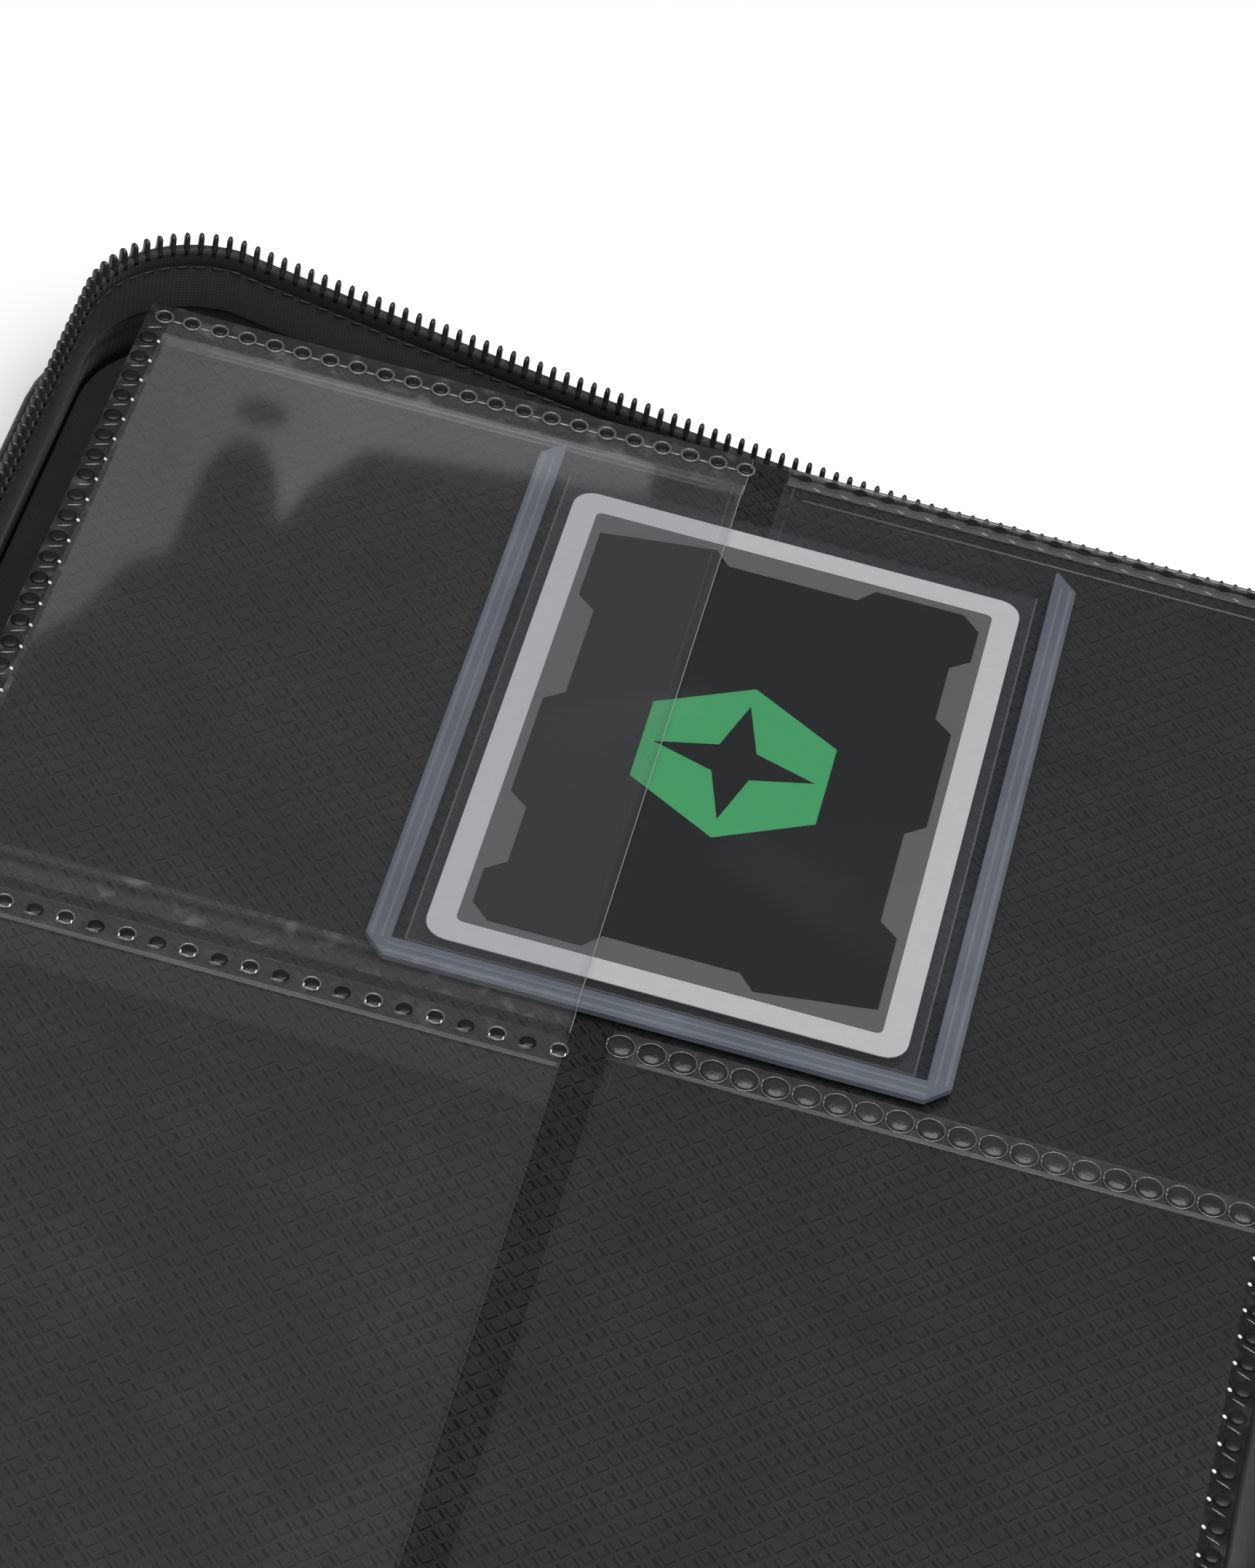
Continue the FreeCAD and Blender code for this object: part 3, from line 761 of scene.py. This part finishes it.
def embossed_backing(shape, top):
    """A thin backing sheet with raised squares at 45 degrees on its upper face, two sides of each
    painted dark as shade.
    """
    shape.box(LEAF_INNER, LEAF_OUTER, -LEAF_HALF, LEAF_HALF, top - BACKING, top - CELL_HEIGHT, 0.08)
    root = math.sqrt(0.5)
    steps = int((LEAF_OUTER - LEAF_INNER + 2 * LEAF_HALF) / CELL) + 2
    centre = (LEAF_INNER + LEAF_OUTER) / 2
    edge = CELL * root
    spots = []
    for i in range(-steps, steps):
        for j in range(-steps, steps):
            u = centre + (i - j) * CELL * root
            y = (i + j) * CELL * root
            if LEAF_INNER + edge <= u <= LEAF_OUTER - edge and abs(y) <= LEAF_HALF - edge:
                spots.append((u, y))
    turn = np.array([(root, root, 0), (-root, root, 0), (0, 0, 1)])
    pads = [pad(side_spread) for side_spread in CELL_SIDE_SPREAD]
    picks = np.random.default_rng(7).integers(len(pads), size=len(spots))
    for (u, y), pick in zip(spots, picks):
        points, faces, kinds = pads[pick]
        shape.add(points @ turn + (u, y, top), faces)
        shape.kinds[-len(kinds):] = kinds


def leaf_backing(side, number, body):
    """The top leaf's backing is embossed, and the others are slightly uneven."""
    top = leaf_top(number)
    name = f"{side}_leaf_{number + 1}"
    phase = number * 1.7

    def lower(u, y):
        wave = (math.sin(u * 0.037 + phase) * math.sin(y * 0.031 + phase * 0.7)
                + 0.4 * math.sin(u * 0.081 - y * 0.052 + phase))
        return top - BACKING + LEAF_WAVE * wave

    shape = Shape()
    if number == 0:
        embossed_backing(shape, top)
    else:
        shape.add(*sheet_grid(LEAF_INNER, LEAF_OUTER, LEAF_HALF, 12.0, lower, BACKING))
    # The second material is painted shade on the squares' steep sides.
    make(f"{name}_sheet", shape, [PAGE, PAGE_SIDE_SHADE], body,
         [f"{name}_backing"], side, smooth=number > 0)


def holder_lift(u, y):
    """How much the card holder raises the film above it, from 0 to 1.

    The whole pocket stands open, so that the holder can slide in to its far end."""
    beyond = max(0.0, HOLDER_LOW[1] - y, y - HOLDER_HIGH[1])
    side = max(0.0, u - (LEAF_OUTER - SIDE_WELD - END_FALL))
    return max(0.0, 1 - max(beyond, side) / END_FALL)


def film_ripple(u, y):
    """Slow waves in a loose film."""
    return 0.01 * (math.sin(u * 0.105 + y * 0.047) + 0.8 * math.sin(u * 0.052 - y * 0.093)
                   + 0.5 * math.sin(u * 0.17 + y * 0.12 + 1.3)) / 2.3


def film(side, number, part, body, replaces):
    """One column of pocket film, pressed down at its welds."""
    column = part.removeprefix("rear_")
    rear = part != column
    on_top = number == 0 and not rear
    outer = column == "outer"
    with_holder = body == "leaf_1" and part == "outer"
    name = f"{side}_leaf_{number + 1}_{part}_film"
    leaf_face = leaf_top(number) - (BACKING if rear else 0)
    if outer:
        u0, u1, weld_edge = OUTER_FILM_END, LEAF_OUTER, LEAF_OUTER - SIDE_WELD
    else:
        u0, u1, weld_edge = LEAF_INNER, INNER_FILM_END, LEAF_INNER + SIDE_WELD

    def height(u, y):
        across = weld_edge - u if outer else u - weld_edge
        along = min(abs(y - WELD_PLACE[column]) - MID_WELD, LEAF_HALF - 5.5 - abs(y))
        loose = ease(min(1.0, max(0.0, min(across, along) / WELD_FALL)))
        raised = 0.1 + 0.16 * loose
        if on_top and not outer and y > -4:      # flat under the card holder
            raised = 0.1 + 0.1 * loose
        elif on_top:
            raised += film_ripple(u, y) * loose + 0.1 * loose
        if with_holder and y > 0:
            raised += (HOLDER_HIGH[2] + 0.16 - LEAF_TOP - raised) * holder_lift(u, y)
        return raised

    def lower(u, y):
        return leaf_face + (-height(u, y) - FILM_THICK if rear else height(u, y))

    step = 1.5 if on_top else 8.0
    if side == "front" and number == int(not rear):
        step = 3.0           # seen when the top leaf is turned
    folds = []
    side_folds = []
    if with_holder:
        side_folds = [weld_edge - share * END_FALL for share in (1, 0.5, 0)]
        for y, away in ((HOLDER_LOW[1], -END_FALL), (HOLDER_HIGH[1], END_FALL)):
            folds += [y + share * away for share in (0, 0.5, 1, 1.2, -0.2)]
    points, faces = sheet_grid(u0, u1, LEAF_HALF, step, lower, FILM_THICK, folds, side_folds)
    shape = Shape(points, faces)
    if with_holder:
        for i, face in enumerate(faces):
            u, y = (sum(points[k][axis] for k in face) / len(face) for axis in (0, 1))
            low_fall = -2.0 < y - HOLDER_LOW[1] < 0.9
            high_fall = y > HOLDER_HIGH[1] - 0.9
            side_fall = u > weld_edge - END_FALL - 0.9 and y > HOLDER_LOW[1] - 2.0
            under_weld = MID_WELD < WELD_PLACE[column] - y < 8.5
            shape.kinds[i] = int(low_fall or high_fall or side_fall) + 2 * int(under_weld)
    materials = [MILKY_FILM if with_holder else FILM, CREASED_FILM, DULL_FILM]
    make(name, shape, materials, body, replaces, side)
    if on_top and outer:
        ys = sorted([*np.linspace(-LEAF_HALF, LEAF_HALF, 150), *folds])
        edge = Shape(*loft([[(u0 + away, y, lower(u0, y) + FILM_THICK + above) for away, above in
                             ((-0.06, -0.1), (0.06, -0.1), (0.06, 0.06), (-0.06, 0.06))] for y in ys]))
        # Above y = 0 the edge takes the painted highlight, below it the copy in painted shade.
        edge.kinds = [int(y < 0) for y in ys[:-1] for _ in range(4)] + [1, 0]
        make(f"{name}_mouth_edge", edge, [HIGHLIT_EDGE, SHADED_EDGE], body, (), side)


def weld_strips(side, number, body, both_faces):
    """The pressed rows that hold a leaf's films: strips, beads, creases and dimples, with near-white
    specks as painted highlights.
    """
    face = leaf_top(number)
    strips, beads, creases, domes, dimples, tips = (Shape() for _ in range(6))

    def press(shape, form, us, ys, above, angle=0.0):
        """Repeat a form along a row, at a height above the leaf."""
        shape.copies(form, flat_frames(us, ys, face + above, angle))

    def band(shape, u0, u1, y0, y1, low, high, radius=0.05, kind=0):
        """A flat band between two heights above the leaf."""
        shape.box(u0, u1, y0, y1, face + low, face + high, radius, kind)

    for u0, u1, column in ((OUTER_FILM_END, LEAF_OUTER, "outer"),
                           (LEAF_INNER, INNER_FILM_END, "inner")):
        row = np.arange(u0 + 0.6, u1 - 1.5, WELD_PITCH)
        between = row[:-1] + WELD_PITCH / 2
        middle = WELD_PLACE[column]
        for end in (-1, 1):
            y = end * (LEAF_HALF - END_WELD)
            band(strips, u0, u1, y, end * LEAF_HALF, 0.06, 0.34, 0.12)
            if column == "inner":
                press(dimples, ellipsoid(1.15, 1.0, 0.2, 10, 3, True), row,
                      end * (LEAF_HALF - 1.5), 0.3)
                band(creases, u0 + 1, u1 - 0.3, y - 0.9, y + 0.9, 0.3, 0.42)
                press(beads, ellipsoid(0.8, 0.22, 0.12), between, y - end * 0.4, 0.42, 0.3)
                fold = y - end * 3.2
                band(creases, u0 + 3, u1 - 3, fold - 0.12, fold + 0.12, 0.2, 0.44)
                continue
            press(dimples, ellipsoid(0.95, 0.8, 0.2, 10, 3, True), row, y, 0.28)
            press(beads, ellipsoid(0.95, 0.2, 0.14), between, y - end * 0.5, 0.36)
            press(beads, torus(1.22, 0.2), row, y, 0.36)
            for away, wide in ((4.6, 0.16), (5.6, 0.1)):
                fold = end * (LEAF_HALF - END_WELD - away)
                band(creases, u0 + 4, u1 - 10, fold - wide, fold + wide, 0.2, 0.46)
        if column == "inner":
            press(domes, ellipsoid(1.8, 1.75, 0.62, 14, 6, True), row + 1.0, middle, 0.3)
            press(beads, torus(1.86, 0.1), row + 1.0, middle, 0.32)
            press(beads, ellipsoid(0.14, 0.34, 0.14), np.repeat(row + 2.75, 2),
                  np.tile((middle - 0.4, middle + 0.4), len(row)), 0.6)
        else:
            press(dimples, ellipsoid(1.1, 1.0, 0.3, 12, 3, True), row, middle + 0.2, 0.26)
            press(beads, torus(1.12, 0.15), row[::2], middle + 0.2, 0.34)
            press(beads, ellipsoid(1.0, 0.2, 0.26, 10), row + 0.3, middle - 0.8, 0.34)
            # Painted highlights: near-white specks either side of every other dimple.
            press(tips, ellipsoid(0.12, 0.34, 0.16),
                  np.ravel([(u - 0.9, u + 0.9) for u in row[::2]]), middle - 0.4, 0.4)
        band(strips, u0, u1, middle - MID_WELD, middle + MID_WELD, 0.06, 0.3, 0.12, 1)
        band(creases, u0 + 0.4, u1 - 4, middle - MID_WELD, middle - 1.9, 0.2, 0.36)
    rows = np.arange(-LEAF_HALF + 5.0, LEAF_HALF - 6.0, SIDE_PITCH)
    for edge, inward, long in ((LEAF_OUTER, -1, 1.3), (LEAF_INNER, 1, 1.2)):
        slant = math.radians(24) * inward
        press(dimples, ellipsoid(long, 1.2, 0.3, 10, 3, True), edge + inward * 1.5, rows, 0.22, slant)
        # Painted highlights: a near-white speck beside each slanted dimple.
        press(tips, ellipsoid(0.36, 0.24, 0.2), edge + inward * 3.15, rows - 0.6, 0.4, 0.7)
        press(beads, ellipsoid(long, 0.15, 0.14), edge + inward * 1.8,
              rows + SIDE_PITCH / 2, 0.34, slant)
        band(strips, edge, edge + inward * SIDE_WELD, -LEAF_HALF, LEAF_HALF, 0.06, 0.3, 0.12)
    for part, shape, material in (("strips", strips, [WELD, PALE_WELD]), ("beads", beads, BEAD),
                                  ("creases", creases, CREASE), ("domes", domes, DOME),
                                  ("dimples", dimples, DIMPLE), ("tips", tips, PAINTED_GLINT)):
        if both_faces:
            shape.mirror_down(face - BACKING / 2)
        make(f"{side}_leaf_{number + 1}_weld_{part}", shape, material, body, (), side)


def leaf(side, number):
    name = f"{side}_leaf_{number + 1}"
    turning = name == "front_leaf_1"
    body = "leaf_1" if turning else f"{side}_cover"
    leaf_backing(side, number, body)
    replaced = {"outer": [f"{name}_pockets"]}
    if turning:
        replaced = {"outer": [f"{name}_outer_pockets"], "inner": [f"{name}_inner_pockets"],
                    "rear_outer": [f"{name}_rear_pockets"]}
    for part in ("outer", "inner", "rear_outer", "rear_inner"):
        film(side, number, part, body, replaced.get(part, ()))
    if number == 0 or name == "front_leaf_2":
        weld_strips(side, number, body, both_faces=turning)


# Card holder, sleeve and card
def card_holder():
    x0, y0, z0 = HOLDER_LOW
    x1, y1, z1 = HOLDER_HIGH
    rear_low, rear_high = (corner[2] for corner in node_box("holder_rear_sheet"))
    start = [(x0 + CHAMFER, y0), (x1 - CHAMFER, y0), (x1, y0 + CHAMFER), (x1, y1 - CHAMFER),
             (x1 - CHAMFER, y1)]
    end = [(x0 + CHAMFER, y1), (x0, y1 - CHAMFER), (x0, y0 + CHAMFER)]
    for name, low, high, stands_for in (("face", z0, z1, "front"),
                                        ("back", rear_low, rear_high, "rear")):
        make(f"holder_{name}_sheet", Shape(*plate(start + end, low, high, 0.18, 2)), SHEET,
             "card_holder", [f"holder_{stands_for}_sheet"])
    notch = [(x1 - RAIL, y1), (x1 - RAIL, y0 + RAIL), (x0 + RAIL, y0 + RAIL), (x0 + RAIL, y1)]
    rails = Shape(*plate(start + notch + end, rear_high, z0 - 0.04, 0.12, 1))
    for near, far in ((0.5, 1.05), (1.9, 2.3)):
        for left, right in ((x0 + near, x0 + far), (x1 - far, x1 - near)):
            rails.box(left, right, y0 + CHAMFER, y1 - CHAMFER, z0 - 0.2, z0, 0.03, 1)
        rails.box(x0 + CHAMFER, x1 - CHAMFER, y0 + near, y0 + far, z0 - 0.2, z0, 0.03, 1)
    make("holder_welded_rails", rails, [HOLDER_RAIL, HOLDER_RIB], "card_holder",
         ["holder_rails"], smooth=False)


def soft_sleeve():
    (x0, y0, z0), (x1, y1, z1) = node_box("card_sleeve")
    shape = Shape()
    for low, high in ((z0, z0 + 0.1), (z1 - 0.1, z1)):
        shape.box(x0, x1, y0, y1, low, high, 0.04)
    for x in (x0 + 0.15, x1 - 0.15):
        shape.box(x - 0.13, x + 0.13, y0 + 0.1, y1 - 0.1, z0 + 0.05, z1 - 0.03, 0.02, 1)
    shape.box(x0 + 0.3, x1 - 0.3, y0 + 0.03, y0 + 0.28, z0 + 0.05, z1 - 0.03, 0.02, 1)
    make("soft_card_sleeve", shape, [SLEEVE, CREASE], "card_holder", ["card_sleeve"])


def regular(count, radii, centre, start):
    """Points round a centre, at each of the radii in turn."""
    return [(centre[0] + radii[i % len(radii)] * c, centre[1] + radii[i % len(radii)] * s)
            for i, (c, s) in enumerate(circle(count, start))]


def centre_outline(x0, x1, y0, y1):
    """The dark centre panel, with stepped notches along its edges."""
    w, h = x1 - x0, y1 - y0
    d, s = 2.6, 2.2
    half = [(x1, y0 + d), (x1, y0 + h * 0.2), (x1 - d, y0 + h * 0.2 + s),
            (x1 - d, y0 + h * 0.44), (x1, y0 + h * 0.44 + s), (x1, y0 + h * 0.7),
            (x1 - d, y0 + h * 0.7 + s), (x1 - d, y0 + h * 0.86), (x1, y0 + h * 0.86 + s),
            (x1, y1 - d), (x1 - d, y1), (x0 + w * 0.72, y1), (x0 + w * 0.72 - s, y1 - d),
            (x0 + w * 0.34, y1 - d), (x0 + w * 0.34 - s, y1)]
    middle = np.array(((x0 + x1) / 2, (y0 + y1) / 2))
    return half + [tuple(2 * middle - np.array(point)) for point in half]


def card():
    (x0, y0, z0), (x1, y1, z1) = node_box("card")
    base = z1 - 0.03
    middle = ((x0 + x1) / 2, (y0 + y1) / 2)
    paper = Shape(*stack(rounded_box(x0, x1, y0, y1, 3.0), [(z0, 0.05), (z0 + 0.05, 0),
                                                           (base - 0.04, 0), (base, 0.05)]))
    prints = ((rounded_box(x0 + 3.6, x1 - 3.6, y0 + 3.6, y1 - 3.6, 0.9), -0.01, 1),
        (centre_outline(x0 + 4.9, x1 - 4.9, y0 + 4.9, y1 - 4.9), 0.0, 2),
        (regular(6, (14.5,), middle, math.pi / 6), 0.01, 3),
        (regular(8, (11.0, 3.6), middle, math.pi / 2), 0.02, 2))
    for outline, above, kind in prints:
        paper.add(*stack(outline, [(base + above, 0), (base + (above + 0.02), 0)]), kind)
    make("trading_card", paper, [CARD_LIGHT, CARD_GREY, CARD_DARK, CARD_GREEN],
         "card_holder", ["card"], smooth=False)


# Spine and binding
def spine():
    half = COVER_HALF
    shell = Shape().box(-SPINE_HALF, SPINE_HALF, -half, half, 0.0, SKIN_TOP, 1.2)
    make("spine_cover_skin", shell, LEATHER, "spine",
         ["spine_outer_skin", "spine_board"])
    half -= LINING_MARGIN
    lining = Shape().box(-SPINE_HALF + 0.3, SPINE_HALF - 0.3, -half, half, LINING_FOOT,
                         LINING_TOP, 0.35)
    make("spine_lining_panel", lining, LINING, "spine", ["spine_lining"])


def hinge_crease(side):
    """The skin's bending strip beside the spine."""
    def lower(u, y):
        share = (u - SPINE_HALF + 1) / (COVER_INNER - SPINE_HALF + 2)
        return 0.05 + 0.55 * math.sin(math.pi * min(1.0, max(0.0, share)))

    shape = Shape(*sheet_grid(SPINE_HALF - 1.0, COVER_INNER + 1.0, COVER_HALF - 0.3, 1.0, lower, 0.9))
    piece = make(f"{side}_crease_skin", shape, LEATHER, None,
                 [f"{side}_hinge_crease"], side)
    bend(piece, side, "spine", f"{side}_cover", SPINE_HALF, COVER_INNER)


def straight_teeth(shape, x0, x1, y, kind=0):
    """A straight row of teeth beside the spine's end."""
    count = int((x1 - x0) / TOOTH_PITCH)
    xs = [x0 + (i + 0.5) * (x1 - x0) / count for i in range(count)]
    shape.copies(tooth(), flat_frames(xs, y, CREST_LOW), kind)


def spine_end_zip():
    """The zip's tapes and teeth across the two ends of the spine, and their links."""
    reach = node_box("spine_end_teeth")[1][0]
    tape, teeth, stops = Shape(), Shape(), Shape()
    top = CREST_LOW + CHAIN_HEIGHT
    edge = CREST_LOW + 0.15
    ends = (-WALL_HALF, WALL_HALF)
    for y in ends:
        tape.box(-reach, reach, y - 0.4, y + 0.4, LINING_TOP, CREST_LOW + 0.1, 0.2)
        tape.box(-reach, reach, y - TAPE_EDGE, y + TAPE_EDGE, CREST_LOW - 0.7, edge, 0.3)
        straight_teeth(teeth, -reach, reach, y)
        stops.box(-2, 2, y - 2, y + 2, top + 0.05, top + 1, 0.3)
        for across in (y - 1.5, y + 1.5):
            stops.box(-2, 2, across - 0.45, across + 0.45, CREST_LOW - 0.4, top + 0.4, 0.2)
    make("spine_end_tape_bands", tape, TAPE, "spine", ["spine_end_tapes"])
    make("spine_end_teeth_rows", teeth, TEETH, "spine", ["spine_end_teeth"])
    make("zip_end_clips", stops, METAL, "spine", ["zip_end_stops"])
    section = ((-0.4, LINING_TOP), (0.4, LINING_TOP), (0.35, CREST_LOW - 0.8),
               (TAPE_EDGE, CREST_LOW - 0.5), (0.4, edge), (-0.4, edge),
               (-TAPE_EDGE, CREST_LOW - 0.5), (-0.35, CREST_LOW - 0.8))
    for side in SIDES:
        link = Shape()
        for y in ends:
            link.add(*loft([[(u, y + across, z) for across, z in section]
                            for u in np.linspace(reach - 0.5, COVER_INNER + 0.5, 16)]))
            straight_teeth(link, reach, COVER_INNER, y, 1)
        piece = make(f"{side}_corner_link", link, [TAPE, TEETH], None,
                     [f"{side}_corner_gussets"], side)
        bend(piece, side, "spine", f"{side}_cover", reach, COVER_INNER)


def margin(name, side, numbers, u0, u1, bodies, bends, replaces=()):
    """A stretch of some leaves' margins, rising from flat towards the leaves; it is passed two
    distances to bend between, but bend() makes no blend.
    """
    shape = Shape()
    for number in numbers:
        flat = 4.6 + BACKING * (LEAVES_PER_SIDE - 1 - number)
        raised = leaf_top(number) - BACKING
        line = [(u, flat) for u in np.linspace(MARGIN_START, MARGIN_FLAT, 8)]
        for share in np.linspace(0, 1, 14)[1:]:
            line.append((MARGIN_FLAT + (LEAF_INNER - MARGIN_FLAT) * share,
                         flat + (raised - flat) * ease(share)))
        rings = []
        for u in np.linspace(u0, u1, max(2, int(u1 - u0) + 1)):
            z = float(np.interp(u, *zip(*line)))
            rings.append([(u, -LEAF_HALF, z), (u, -LEAF_HALF, z + BACKING),
                          (u, LEAF_HALF, z + BACKING), (u, LEAF_HALF, z)])
        shape.add(*loft(rings))
    piece = make(name, shape, PAGE, None, replaces, side)
    bend(piece, side, *bodies, *bends)


def margins():
    bends = (MARGIN_FLAT, COVER_INNER)
    for side, first in (("front", 1), ("back", 0)):
        margin(f"{side}_bound_margins", side, range(first, LEAVES_PER_SIDE), MARGIN_START,
               LEAF_INNER, ("spine", f"{side}_cover"), bends, [f"{side}_leaf_margins"])
    margin("turning_leaf_inner_margin", "front", [0], MARGIN_START, COVER_INNER,
           ("spine", "front_cover"), bends, ["front_leaf_1_margin"])
    margin("turning_leaf_outer_margin", "front", [0], COVER_INNER, LEAF_INNER,
           ("front_cover", "leaf_1"), (COVER_INNER, LEAF_INNER))


def binding():
    (x0, y0, z0), (x1, y1, bar_top) = node_box("binding_clamp_bar")
    bar = Shape(*plate(rounded_box(x0, x1, y0, y1, 2.0), z0, bar_top, 0.5, 3))
    make("binding_bar", bar, CLAMP, "spine", ["binding_clamp_bar"])
    (x0, y0, z0), (x1, y1, z1) = node_box("binding_base_strip")
    strip = Shape().box(x0, x1, y0, y1, z0, z1, 0.2)
    make("binding_strip", strip, CLAMP, "spine", ["binding_base_strip"])
    low, high = node_box("binding_rivets")
    radius = 3.2
    places = np.linspace(low[1] + radius, high[1] - radius, 5)
    heads = Shape().copies(ellipsoid(radius, radius, 0.9, 24, 5, True),
                           flat_frames(0, places, bar_top - 0.02))
    make("binding_rivet_heads", heads, RIVET, "spine", ["binding_rivets"])


# Zip slider
def zip_slider():
    """The slider's two metal pieces keep their CAD shape, and its grip is new."""
    for name in ("zip_slider_body", "zip_pull_tab"):
        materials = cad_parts[name].data.materials
        materials.clear()
        materials.append(METAL)
    low, high = node_box("zip_pull_grip")
    middle = (low + high) / 2
    half = (high - low) / 2
    rings = []
    for share in np.linspace(0, 1, 15):
        x = low[0] + (high[0] - low[0]) * share
        end = min(share, 1 - share) * 15 / 2
        grow = math.sqrt(max(0.03, 1 - max(0.0, 1 - end) ** 2))
        waist = 1 - 0.14 * math.sin(math.pi * share) ** 2
        half_z = half[2] * grow * waist
        half_y = half[1] * (0.55 + 0.45 * grow)
        rib = 0.88 if int(share * 14) in (3, 5, 7, 9, 11) else 1.0
        rings.append([(x, middle[1] + half_y * rib * math.copysign(abs(c) ** 0.6, c),
                       middle[2] + half_z * math.copysign(abs(s) ** 0.5, s))
                      for c, s in circle(16)])
    make("zip_pull_moulding", Shape(*loft(rings)), RUBBER, "zip_pull",
         ["zip_pull_grip"])


place_camera()
build_stage()
for half in SIDES:
    cover(half)
    zip_wall(half)
spine()
for half in SIDES:
    hinge_crease(half)
spine_end_zip()
binding()
margins()
for half in SIDES:
    for leaf_number in range(LEAVES_PER_SIDE):
        leaf(half, leaf_number)
card_holder()
soft_sleeve()
card()
zip_slider()
